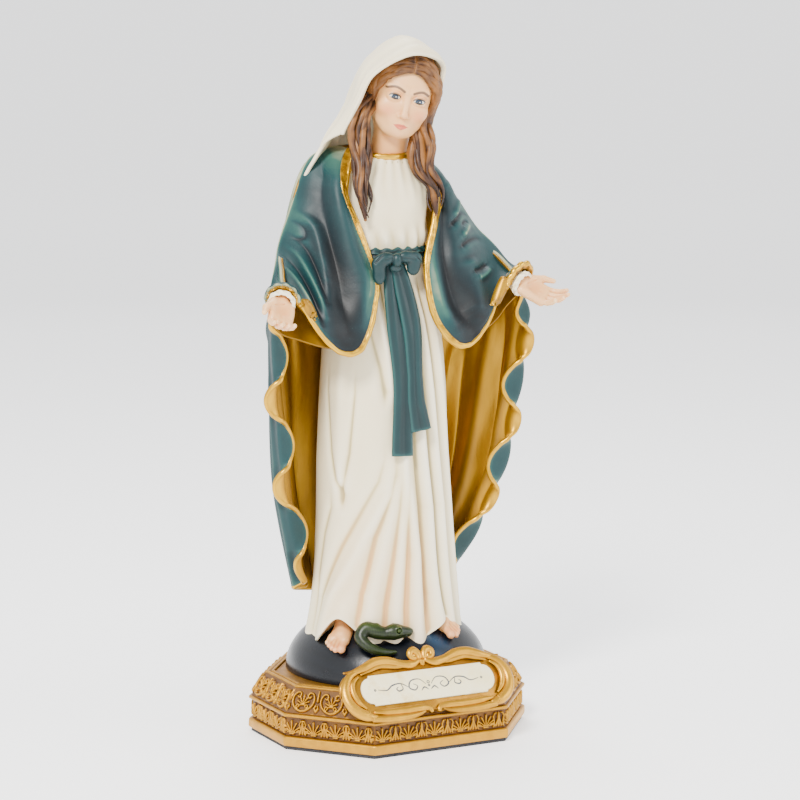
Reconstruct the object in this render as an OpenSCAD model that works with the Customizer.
// Standing Madonna figure in painted cast resin, on a globe and an ornamental eight-sided plinth.
// Millimetres. +Z is up, the figure faces -Y, and +X is the figure's own left.
// The origin is the centre of the plinth's resting face.

/* [Plinth] */
// Width of the plinth, side to side
base_w = 118; // [112:1:126]
// Depth of the plinth, front to back
base_d = 100; // [96:1:108]
// Width of the straight front face
front_flat = 64; // [60:1:68]
// Width of the straight side face
side_flat = 36; // [32:1:40]
// Thickness of the felt under the plinth
felt_t = 1.5; // [1:0.1:2]
// Height of the plain band round the foot of the plinth
band_h = 4.4; // [4:0.1:5]
// Height of the sunk frieze above the band
frieze_h = 8.4; // [8:0.1:9]
// Height of the sloping upper face
slope_h = 9.8; // [9:0.1:11]
// How far the slope leans in
slope_in = 7.3; // [6:0.1:8]

/* [Globe] */
// Radius of the globe where it meets the deck
globe_r = 44; // [42:0.5:45]
// Height of the globe above the deck
globe_h = 29; // [27:0.5:31]
// Radius of the locating spigot under the globe
spigot_r = 12; // [10:0.5:14]

/* [Cartouche] */
// Width of the name plate
plate_w = 63; // [58:1:66]
// Height of the name plate along its slope
plate_h = 13.5; // [12:0.5:15]
// Thickness of the name plate
plate_t = 0.8; // [0.6:0.1:1.2]
// Lean of the cartouche back from upright, in degrees
plate_lean = 34; // [30:1:38]
// Sideways place of the cartouche, which sits a little to the figure's right
plate_x = -5; // [-7:0.5:0]

/* [Cloth] */
// Thickness of the mantle casting
mantle_t = 2; // [1.8:0.1:2.4]
// Thickness of the veil casting
veil_t = 1.6; // [1.4:0.1:2]
// Depth of the gown's folds at the hem
fold_depth = 1.6; // [0:0.1:2]
// Swing of the mantle's rippled side edges
ripple = 6; // [3:0.5:7]
// Radius of the gilt bead along the mantle's edge
bead_r = 1.1; // [0.8:0.1:1.3]

/* [Fixings] */
// Radius of the steel screw that holds the figure down
screw_r = 2.5; // [2:0.25:3]
// Radius of the steel pin in each wrist
pin_r = 0.8; // [0.6:0.1:1]
// Running fit of pins, spigots and the screw in their holes
clearance = 0.1; // [0.05:0.01:0.2]

/* [Hidden] */

// Levels of the plinth
band_z = felt_t + band_h;
frieze_z = band_z + frieze_h;
ledge_h = 1.6;
ledge_z = frieze_z + ledge_h;
rim_z = ledge_z + slope_h + 1;
deck_z = rim_z - 0.8;
frieze_in = 1.8;
spigot_h = 6;
globe_c = [1, 4];
globe_top = deck_z + globe_h;

// Screw, entered from below and bedded in the gown
screw_head_r = 5;
screw_head_h = 3;
washer_r = 7;
washer_t = 1;
screw_recess = felt_t + 4.5;
screw_top = 88;

// Arms: the line of the mantle's fold over each arm, from the neck to the wrist
arm_right = [[-17, 10, 254], [-31, 8, 249], [-40, 8, 231], [-47, 8, 214], [-55, -8, 205], [-60, -20, 199]];
arm_left = [[17, 10, 252], [30, 8, 243], [41, 8, 228], [49, 8, 213], [53, -5, 208], [55, -15, 204]];

// Free front edge of the mantle, from the neck round the drape and up to the wrist
edge_right = [
    [-15, 3, 252], [-23, -5, 235], [-19.5, -9, 221], [-15, -12, 206], [-14, -16, 195], [-16.5, -19, 187],
    [-24.5, -23, 174], [-34.5, -25, 166], [-44.5, -26, 173], [-50, -25, 183], [-55, -23, 192], [-60.5, -21.5, 197]
];
edge_left = [
    [15, 3, 251], [22, -4, 235], [17.5, -9, 221], [12.5, -12, 206], [10.5, -16, 195], [13, -21, 179],
    [24, -25, 168], [35, -25, 170], [42, -23, 178], [44, -21, 188], [47, -19, 197], [55, -17, 203.5]
];

// Back of the mantle: one row of points for each level, from the right wrist round to the left
mantle_rows = [
    [[-60, -20, 199], [-55, -8, 205], [-47, 8, 214], [-32, 14, 247], [0, 20, 253],
     [31, 14, 241], [49, 8, 213], [53, -5, 208], [55, -15, 204]],
    [[-60, -15, 180], [-58, -4, 181], [-50, 11, 184], [-35, 22, 194], [0, 27, 198],
     [37, 22, 194], [56, 12, 185], [62, -1, 182], [63, -13, 181]],
    [[-56, -9, 150], [-54.5, 1, 150], [-46, 16, 150], [-31, 26, 150], [0, 33, 150],
     [33, 28, 150], [52, 18, 150], [61, 3, 150], [61, -9, 150]],
    [[-50, -5, 108], [-49, 5, 106], [-42, 19, 105], [-28, 29, 104], [0, 36, 103],
     [29, 31, 104], [46, 22, 105], [54, 7, 106], [54, -5, 108]],
    [[-37, 3, 67], [-38, 13, 63], [-31, 23, 60], [-18, 30, 57], [0, 33, 56],
     [19, 31, 57], [32, 25, 60], [37, 14, 62], [34, 3, 65]]
];

// Veil: one row of points for each band, from the right front corner over the head to the left
veil_rows = [
    [[-22.5, -2, 260], [-18.5, -9, 273], [-13.5, -13.5, 284], [1, -17, 292], [15, -14, 291], [21.5, -10, 286], [21, -6, 276]],
    [[-28, 4, 256], [-18.5, -1, 272], [-12, -4, 288], [6, -5, 299], [19, -5, 294], [24, -2, 284], [23, 0, 270]],
    [[-33, 6, 248], [-16, 11, 267], [-7.5, 12, 286], [6, 10, 297.5], [18, 10, 291], [24, 10, 279], [26, 8, 258]],
    [[-35, 11, 240], [-22, 19, 252], [-9, 24, 268], [5, 25, 276], [17, 23, 270], [26, 19, 254], [30, 15, 243]],
    [[-35, 12, 232], [-27, 22, 228], [-15, 28, 223], [0, 30, 221], [15, 30, 222], [26, 25.5, 225], [33, 20, 229]]
];

// Gown: height, centre, half width and half depth of each level, from the hem up
gown_levels = [
    [40, [-2, -1], 35, 28], [60, [-2, -0.5], 32.5, 26], [90, [-1.5, 1.5], 30.5, 25], [120, [-1.5, 2.5], 29.5, 24],
    [150, [-1, 3], 28.5, 22.5], [178, [-1, 3.5], 26, 20], [198, [-1, 4], 20.5, 16], [208, [-1, 4], 18.5, 14.5],
    [222, [-1, 4.5], 20.5, 16], [236, [-0.5, 6.5], 22, 14.5], [246, [1, 7.5], 17, 11], [250, [1.5, 7.5], 11.5, 9.5]
];
foot_lift = 12;
ankle_right = [-23, -6, 51];
ankle_left = [12, -13, 54];
ankle_pocket_r = 9;
toe_right = [-36, -17, 42];
toe_left = [16.5, -31, 45];

// Head: centre of the skull, and how it leans to its left, nods and turns
head_c = [6, -1, 275.5];
head_roll = 13;
head_nod = 12;
head_turn = 13;
neck_c = [1.5, 7];
neck_r = 7.6;
neck_foot_z = 238;

// ---- Curves and meshes ----

function near(list, i) = list[max(0, min(len(list) - 1, i))];

// Point on a smooth curve through the points of a list, with u from 0 to their last index
function on_curve(list, u) =
    let (
        i = max(0, min(floor(u), len(list) - 2)), f = u - i,
        a = near(list, i - 1), b = list[i], c = list[i + 1], d = near(list, i + 2)
    )
    0.5 * (2 * b + (c - a) * f + (2 * a - 5 * b + 4 * c - d) * f * f + (3 * b - a - 3 * c + d) * f * f * f);

function curve(list, n) = [for (k = [0:n - 1]) on_curve(list, k * (len(list) - 1) / (n - 1))];

// Grid of n by m points on a smooth surface through rows of points
function surface_grid(rows, n, m) =
    let (across = [for (row = rows) curve(row, m)])
    let (down = [for (j = [0:m - 1]) curve([for (row = across) row[j]], n)])
    [for (i = [0:n - 1]) [for (j = [0:m - 1]) down[j][i]]];

function unit(v) = v / max(norm(v), 0.000001);

function grid_normal(g, i, j) =
    let (n = len(g), m = len(g[0]))
    unit(cross(g[min(i + 1, n - 1)][j] - g[max(i - 1, 0)][j], g[i][min(j + 1, m - 1)] - g[i][max(j - 1, 0)]));

function offset_grid(g, d) =
    [for (i = [0:len(g) - 1]) [for (j = [0:len(g[0]) - 1]) g[i][j] + d * grid_normal(g, i, j)]];

function flat_list(lists) = [for (l = lists) for (p = l) p];

function strip_faces(n, m, start, flip) =
    [for (i = [0:n - 2]) for (j = [0:m - 2])
        let (a = start + i * m + j, b = a + 1, c = a + m + 1, d = a + m)
        each (flip ? [[a, c, b], [a, d, c]] : [[a, b, c], [a, c, d]])];

// Closed sheet of thickness t whose outer face is the grid g, and whose inner face lies behind it
module sheet(g, t) {
    n = len(g);
    m = len(g[0]);
    q = n * m;
    inner = offset_grid(g, -t);
    rim = concat(
        [for (j = [0:m - 1]) j],
        [for (i = [1:n - 1]) i * m + m - 1],
        [for (j = [m - 2:-1:0]) (n - 1) * m + j],
        [for (i = [n - 2:-1:1]) i * m]
    );
    edge = [for (k = [0:len(rim) - 1])
        let (a = rim[k], b = rim[(k + 1) % len(rim)])
        each [[a, b + q, b], [a, a + q, b + q]]];
    polyhedron(
        concat(flat_list(g), flat_list(inner)),
        concat(strip_faces(n, m, 0, false), strip_faces(n, m, q, true), edge),
        convexity = 8
    );
}

// Closed solid through rings of equal count, listed anticlockwise as seen from the last ring's end
module loft(rings) {
    n = len(rings);
    m = len(rings[0]);
    sides = [for (i = [0:n - 2]) for (j = [0:m - 1])
        let (a = i * m + j, b = i * m + (j + 1) % m, c = b + m, d = a + m)
        each [[a, c, b], [a, d, c]]];
    polyhedron(
        flat_list(rings),
        concat(sides, [[for (j = [0:m - 1]) j]], [[for (j = [m - 1:-1:0]) (n - 1) * m + j]]),
        convexity = 8
    );
}

function frame_side(t) = unit(cross([0.3, 1, 0.2], t));

// Ring of s points round p, across direction t, r wide and flattened by k along the second axis
function ring(p, t, r, s, k = 1) =
    let (x = frame_side(t), y = cross(t, x))
    [for (a = [0:s - 1]) p + r * cos(360 * a / s) * x + r * k * sin(360 * a / s) * y];

// Tube of changing radius along a list of points
module tube(points, radii, s = 8, k = 1) {
    n = len(points);
    loft([for (i = [0:n - 1])
        ring(points[i], unit(near(points, i + 1) - near(points, i - 1)), on_curve(radii, i * (len(radii) - 1) / (n - 1)), s, k)]);
}

// Cylinder from point a to point b
module rod(a, b, r) {
    d = b - a;
    translate(a)
        rotate([0, acos(d[2] / norm(d)), atan2(d[1], d[0])])
            cylinder(h = norm(d), r = r, $fn = 32);
}

// ---- Plinth, globe and cartouche ----

module octagon(inset = 0) {
    w = base_w / 2 - inset;
    d = base_d / 2 - inset;
    f = front_flat / 2 - inset * 0.45;
    s = side_flat / 2 - inset * 0.45;
    polygon([[-f, -d], [f, -d], [w, -s], [w, s], [f, d], [-f, d], [-w, s], [-w, -s]]);
}

module slab(z0, z1, inset = 0) {
    translate([0, 0, z0])
        linear_extrude(z1 - z0)
            octagon(inset);
}

function octagon_points(inset, z) =
    let (
        w = base_w / 2 - inset, d = base_d / 2 - inset,
        f = front_flat / 2 - inset * 0.45, s = side_flat / 2 - inset * 0.45
    )
    [[-f, -d, z], [f, -d, z], [w, -s, z], [w, s, z], [f, d, z], [-f, d, z], [-w, s, z], [-w, -s, z]];

module felt_pad() {
    color("#23262b")
        slab(0, felt_t, 1.2);
}

module plinth() {
    color("#b7862f")
        difference() {
            union() {
                slab(felt_t, band_z);
                slab(band_z, frieze_z, frieze_in);
                slab(frieze_z, ledge_z, 0.2);
                loft([octagon_points(1, ledge_z), octagon_points(slope_in, rim_z)]);
            }
            translate([0, 0, deck_z])
                linear_extrude(5)
                    octagon(slope_in + 1.5);
            translate([globe_c[0], globe_c[1], deck_z - spigot_h - 0.5])
                cylinder(h = 20, r = spigot_r + clearance, $fn = 64);
            translate([globe_c[0], globe_c[1], -1])
                cylinder(h = 40, r = screw_r + clearance, $fn = 32);
            translate([globe_c[0], globe_c[1], -1])
                cylinder(h = screw_recess + 1, r = washer_r + 0.5, $fn = 48);
        }
}

module globe() {
    arc = [for (a = [0:6:90]) [globe_r * cos(a), globe_h * sin(a)]];
    color("#2b3a48")
        translate([globe_c[0], globe_c[1], deck_z])
            difference() {
                union() {
                    rotate_extrude($fn = 96)
                        polygon(concat([[0, 0]], arc));
                    translate([0, 0, -spigot_h])
                        cylinder(h = spigot_h + 1, r = spigot_r, $fn = 64);
                }
                translate([0, 0, -spigot_h - 1])
                    cylinder(h = globe_h + 20, r = screw_r + clearance, $fn = 32);
            }
}

// Places a child drawn flat, with +Y up the slope and +Z outwards, on the cartouche's leaning plane
module on_cartouche() {
    translate([plate_x, -45.5, 28])
        rotate([90 - plate_lean, 0, 0])
            children();
}

module plate_outline(grow = 0) {
    half = plate_w / 2 - 4;
    notch = 2;
    hull() {
        square([2 * half + 2 * grow, plate_h + 2 * grow], center = true);
        for (side = [-1, 1])
            translate([side * half, 0])
                resize([8 + 2 * grow, plate_h - 2 * notch + 2 * grow])
                    circle(r = 4, $fn = 32);
    }
}

module name_plate() {
    color("#f1e6b4")
        on_cartouche()
            translate([0, 0, 1.2])
                linear_extrude(plate_t)
                    plate_outline();
}

// Half of the cartouche's scrolled border, from the foot round the side to the crest
border_half = [
    [1.5, -10.5], [12, -10.8], [22, -10], [32, -9.5], [36.5, -6], [37.5, 0],
    [35, 6], [29, 10.5], [20, 11.2], [11, 10.6], [6, 11.5], [3, 15]
];

module cartouche_frame() {
    path = curve(border_half, 25);
    color("#c3922f") {
        on_cartouche()
            translate([0, 0, -1])
                linear_extrude(2.1)
                    plate_outline(1.6);
        for (side = [-1, 1])
            on_cartouche()
                tube([for (p = path) [side * p[0], p[1], 1.4]], [1.4, 2.2, 2.6, 2.4, 1.8, 1.6, 2], 8);
    }
}

// ---- Serpent and feet ----

serpent_path = [
    [-14, -32, 42.5], [-20, -31.5, 42], [-26, -28, 42.5], [-28.5, -23.5, 46], [-25, -22.5, 50.5],
    [-20.5, -25.5, 49], [-17, -28.5, 48], [-12.5, -29.5, 49.5], [-8, -29.5, 49]
];

module serpent() {
    color("#2f3827")
        tube(curve(serpent_path, 30), [0.8, 1.6, 2.1, 2.4, 2.6, 2.7, 3, 3.7, 2], 8, 0.85);
}

// Foot from the ankle to the toe tips, with five toes across its end
module foot(ankle, toe, side) {
    along = unit(toe - ankle);
    across = unit(cross([0, 0, 1], along));
    body = [ankle, ankle * 0.45 + toe * 0.55 + [0, 0, 1.5], toe - along * 5 + [0, 0, 0.3]];
    color("#f0c7a4") {
        loft([for (i = [0:8]) ring(on_curve(body, i / 4), along, 4.2 + 2.2 * sin(i * 18), 10, 0.72)]);
        for (k = [0:4]) {
            root = toe - along * 6.5 + across * side * (2.4 * (k - 2));
            tip = toe - along * (0.6 + 0.9 * k) + across * side * (2.7 * (k - 2)) - [0, 0, 0.9];
            tube([root, (root + tip) / 2 + [0, 0, 0.5], tip], [1.2, 1.6 - 0.15 * k, 1], 6);
        }
    }
}

// ---- Gown, sash and trim ----

function level_at(u) = [for (k = [0:3]) on_curve([for (l = gown_levels) l[k]], u)];

function fold(a, z) =
    let (share = max(0, min(1, (200 - z) / 150)))
    fold_depth * share * (0.6 * cos(13 * a + 40) + 0.4 * cos(7 * a - 25));

// How far the hem lifts over each foot, by angle round the gown
function hem_lift(a) = foot_lift * (exp(-pow((a - 213) / 17, 2)) + 0.8 * exp(-pow((a - 296) / 15, 2)));

module gown() {
    rings = 34;
    sides = 48;
    last = len(gown_levels) - 1;
    color("#f3eed9")
        difference() {
            loft([for (i = [0:rings - 1])
                let (u = pow(i / (rings - 1), 0.95) * last, l = level_at(u), near_hem = pow(1 - i / (rings - 1), 9))
                [for (j = [0:sides - 1])
                    let (a = 360 * j / sides, f = fold(a, l[0]))
                    [l[1][0] + (l[2] + f) * cos(a), l[1][1] + (l[3] + f) * sin(a),
                     l[0] + near_hem * (hem_lift(a) + 3)]]]);
            translate([globe_c[0], globe_c[1], deck_z])
                scale([1, 1, (globe_h + 0.2) / globe_r])
                    sphere(r = globe_r + 0.1, $fn = 64);
            translate([globe_c[0], globe_c[1], 0])
                cylinder(h = screw_top + 1, r = screw_r + clearance, $fn = 32);
            translate([neck_c[0], neck_c[1], neck_foot_z])
                cylinder(h = 20, r = neck_r + clearance, $fn = 48);
            for (ankle = [ankle_right, ankle_left])
                translate(ankle)
                    sphere(r = ankle_pocket_r, $fn = 48);
        }
}

// Closed band round the waist, swelling outwards from the gown
module waist_sash() {
    s = 36;
    profile = [[0, 0], [0.9, 0.8], [1.5, 3.8], [0.9, 6.8], [0, 7.6]];
    m = len(profile);
    color("#2f6e70")
        translate([-1, 4, 203.5])
            polyhedron(
                [for (j = [0:s - 1]) for (q = profile)
                    [(19.4 + q[0]) * cos(360 * j / s), (15.6 + q[0]) * sin(360 * j / s), q[1]]],
                [for (j = [0:s - 1]) for (i = [0:m - 1])
                    let (a = j * m + i, b = j * m + (i + 1) % m, d = ((j + 1) % s) * m)
                    each [[a, b, d + i], [b, d + (i + 1) % m, d + i]]],
                convexity = 6
            );
}

// Half of the bow: one loop out to the side and back
bow_loop = [[1.4, -16, 207.2], [6.5, -17, 209.6], [11.5, -15.5, 207.5], [11.8, -15, 202], [7, -16.5, 199.8], [1.6, -16.3, 203.2]];

module sash_bow() {
    color("#2f6e70") {
        tube([[-4, -16.2, 201.6], [-4, -16.6, 203], [-4, -16.8, 205.4], [-4, -16.6, 207.6], [-4, -16.2, 209]],
             [1.8, 3.2, 3.4, 3.2, 1.8], 12);
        for (side = [-1, 1])
            tube(
                curve([for (p = bow_loop) [-4 + side * p[0], p[1], p[2]]], 13),
                [1.1, 1.7, 1.9, 1.7, 1.1], 8
            );
    }
}

tail_long = [[-5, -16.5, 204], [-4.5, -19, 190], [-3, -21.6, 172], [-1.5, -23.6, 155], [-3, -24.6, 140], [-5.5, -25.2, 123]];
tail_short = [[-3, -16.5, 204], [-1, -19, 188], [1.5, -21.6, 172], [3.5, -23.6, 156], [2, -24.6, 145], [3.5, -25, 134]];

module ribbon(points, half_widths, t) {
    n = 14;
    path = curve(points, n);
    loft([for (i = [0:n - 1])
        let (p = path[i], w = on_curve(half_widths, i * (len(half_widths) - 1) / (n - 1)))
        [p + [-w, 0, 0], p + [w, 0, 0], p + [w, t, 0], p + [-w, t, 0]]]);
}

module sash_tails() {
    color("#2f6e70") {
        ribbon(tail_long, [1.6, 3.4, 4, 3.2, 4.2], 1.4);
        translate([0, -1.6, 0])
            ribbon(tail_short, [1.6, 3, 3.4, 2.8, 3.8], 1.4);
    }
}

module neck_trim() {
    color("#c99a2e")
        translate([1.5, 7.2, 249.4])
            rotate([7, 0, 0])
                rotate_extrude($fn = 64)
                    translate([10.4, 0])
                        circle(r = 1, $fn = 24);
}

// ---- Head, hair and veil ----

module head_pose() {
    translate(head_c)
        rotate([head_nod, head_roll, -head_turn])
            children();
}

// Head from the chin up: height, centre's depth, half width and half depth of each level
head_levels = [
    [-18.4, -6.5, 2.6, 3], [-16.5, -5.5, 5.6, 6], [-12, -3.5, 8.6, 9.4], [-6, -1, 10.8, 12.4], [0, 0.5, 12, 14.2],
    [6, 1.5, 12.3, 15], [12, 2, 10.8, 13.2], [16.5, 2.2, 7, 8.6], [18.4, 2.4, 2.4, 3]
];

module head() {
    levels = curve([for (l = head_levels) l], 17);
    color("#f3d3b0") {
        head_pose()
            loft([for (l = levels) [for (a = [0:15:345]) [l[2] * cos(a), l[1] + l[3] * sin(a), l[0]]]]);
        translate([neck_c[0], neck_c[1], neck_foot_z])
            cylinder(h = 19, r = neck_r, $fn = 48);
        rod([neck_c[0], neck_c[1], neck_foot_z + 18], [5.5, 3, 270], neck_r - 0.4);
    }
}

module hair_crown() {
    color("#7a4a24")
        head_pose()
            difference() {
                translate([0, 2.5, 2.5])
                    sphere(r = 16.2, $fn = 48);
                translate([0, 2, 1.5])
                    sphere(r = 14.4, $fn = 48);
                translate([0, 0, -5])
                    rotate([90, 0, 0])
                        cylinder(h = 40, r = 13, $fn = 48);
                translate([-20, -20, -45])
                    cube([40, 40, 40]);
            }
}

// Lock of hair: two strands twisted round one line
module hair_lock(points, spread) {
    path = curve(points, 22);
    color("#7a4a24")
        for (k = [0:1])
            tube(
                [for (i = [0:21]) path[i] + spread * [cos(24 * i + 175 * k), 0.6 * sin(24 * i + 175 * k), 0.4 * k]],
                [1.1, 2.3, 2.6, 2.3 - 0.2 * k, 0.7], 8 - k
            );
}

lock_right = [[-13, -6, 270], [-15.5, -4, 261], [-18, -2, 252], [-17, -7, 242], [-17.5, -11, 232], [-15.5, -13.5, 222]];
lock_left = [[18, -8, 268], [16.5, -5, 259], [14.5, -3, 250], [16, -7, 241], [18, -11, 232], [17.5, -13.5, 222]];

module veil() {
    color("#f4f1e6")
        sheet(surface_grid(veil_rows, 13, 19), veil_t);
}

// ---- Mantle ----

function ripple_at(side, z) = ripple * (side < 0 ? cos((z - 148) * 9.4) : cos((z - 166) * 10.3));

// Share of the way from the middle back to a side edge at which a column lies, made steep
function edge_share(j, m) = pow(abs(2 * j / (m - 1) - 1), 8);

module mantle_back() {
    n = 25;
    m = 29;
    base = surface_grid(mantle_rows, n, m);
    rippled = [for (i = [0:n - 1]) [for (j = [0:m - 1])
        let (
            p = base[i][j], side = j * 2 < m ? -1 : 1,
            fade = min(1, i / 5) * edge_share(j, m),
            back = 1.2 * sin(i * 180 / n) * cos(j * 360 / 5)
        )
        p + [side * fade * ripple_at(side, p[2]), back, 0]]];
    color("#1f5a5e")
        sheet(rippled, mantle_t);
}

// Front drape: a patch from the arm line down to the free edge, which swells outwards
function drape_grid(arm, edge, side, n, m) =
    let (top = curve(arm, m), low = curve(edge, m))
    [for (i = [0:n - 1]) [for (j = [0:m - 1])
        let (t = i / (n - 1), k = j / (m - 1), swell = 9 * sin(180 * t) * pow(sin(180 * k), 0.8))
        top[j] * (1 - t) + low[j] * t + swell * [side * 0.35, -1, 0]]];

module mantle_drape_right() {
    g = drape_grid(arm_right, edge_right, -1, 9, 25);
    color("#1f5a5e")
        sheet([for (row = g) [for (j = [len(row) - 1:-1:0]) row[j]]], mantle_t);
}

module mantle_drape_left() {
    color("#1f5a5e")
        sheet(drape_grid(arm_left, edge_left, 1, 9, 25), mantle_t);
}

module mantle_bead(edge) {
    color("#c99a2e")
        tube(curve([for (p = edge) p + [0, -bead_r, 0]], 45), [bead_r, bead_r], 6);
}

// ---- Sleeves, hands and wrist pins ----

wrist_right = [-60.5, -21.5, 191.5];
wrist_left = [55, -18, 194];
fingertip_right = [-69.5, -37, 177.5];
fingertip_left = [72, -28, 182.5];

module sleeve(elbow, wrist, tip) {
    aim = unit(wrist - elbow);
    along = unit(tip - wrist);
    color("#f4f1e6")
        difference() {
            union() {
                rod(elbow, wrist, 5.4);
                rod(wrist - aim * 5, wrist, 6);
            }
            rod(wrist - along * 6.3, wrist + along * 8, pin_r + clearance);
        }
}

// Open hand: a palm and five fingers, with a hole for the pin in the wrist
module hand(wrist, tip, side, up) {
    along = unit(tip - wrist);
    palm_n = unit(up - (up * along) * along);
    width = cross(along, palm_n);
    across = width * side;
    length = norm(tip - wrist);
    color("#f0c7a4")
        difference() {
            union() {
                loft([for (i = [0:5])
                    let (s = i / 5, c = wrist + along * (0.4 + (length * 0.5 - 0.4) * s))
                    [for (a = [0:9])
                        c + (3.4 + 1.6 * s) * (0.6 * cos(36 * a) * palm_n + sin(36 * a) * width)]]);
                for (k = [0:3]) {
                    root = wrist + along * length * 0.45 + across * (2.5 * (k - 1.5));
                    reach = length * (1 - 0.06 * abs(k - 1) - 0.03 * k);
                    end = wrist + along * reach + across * (2.8 * (k - 1.5)) + palm_n * 1.2;
                    tube([root, (root + end) / 2 - palm_n * 0.4, end], [1.5, 1.4, 1], 6);
                }
                thumb = wrist + along * length * 0.18 - across * 3.2;
                thumb_end = wrist + along * length * 0.6 - across * 7 + palm_n * 2.2;
                tube([thumb, (thumb + thumb_end) / 2 - across * 0.8, thumb_end], [1.9, 1.7, 1.1], 6);
            }
            rod(wrist - along * 2, wrist + along * 6.3, pin_r + clearance);
        }
}

module wrist_pin(wrist, tip) {
    along = unit(tip - wrist);
    color("#9a9fa5")
        rod(wrist - along * 6, wrist + along * 6, pin_r);
}

elbow_right = [-51, -6, 198];
elbow_left = [48, -3, 201];

// ---- Fixings ----

module base_screw() {
    color("#9a9fa5")
        translate([globe_c[0], globe_c[1], screw_recess - washer_t - screw_head_h]) {
            cylinder(h = screw_head_h, r = screw_head_r, $fn = 48);
            cylinder(h = screw_top - screw_recess + washer_t + screw_head_h, r = screw_r, $fn = 32);
        }
}

module screw_washer() {
    color("#b9bdc2")
        translate([globe_c[0], globe_c[1], screw_recess - washer_t])
            difference() {
                cylinder(h = washer_t, r = washer_r, $fn = 48);
                translate([0, 0, -1])
                    cylinder(h = washer_t + 2, r = screw_r + clearance, $fn = 32);
            }
}

felt_pad();
plinth();
cartouche_frame();
name_plate();
globe();
serpent();
foot(ankle_right, toe_right, -1);  // foot_right
foot(ankle_left, toe_left, 1);  // foot_left
gown();
waist_sash();
sash_bow();
sash_tails();
neck_trim();
head();
hair_crown();
hair_lock(lock_right, 1.5);  // hair_lock_right
hair_lock(lock_left, 1.5);  // hair_lock_left
veil();
mantle_back();
mantle_drape_right();
mantle_drape_left();
mantle_bead(edge_right);  // mantle_bead_right
mantle_bead(edge_left);  // mantle_bead_left
sleeve(elbow_right, wrist_right, fingertip_right);  // sleeve_right
sleeve(elbow_left, wrist_left, fingertip_left);  // sleeve_left
hand(wrist_right, fingertip_right, -1, [0.2, -0.6, 0.75]);  // hand_right
hand(wrist_left, fingertip_left, 1, [-0.2, -0.6, 0.75]);  // hand_left
wrist_pin(wrist_right, fingertip_right);  // wrist_pin_right
wrist_pin(wrist_left, fingertip_left);  // wrist_pin_left
base_screw();
screw_washer();
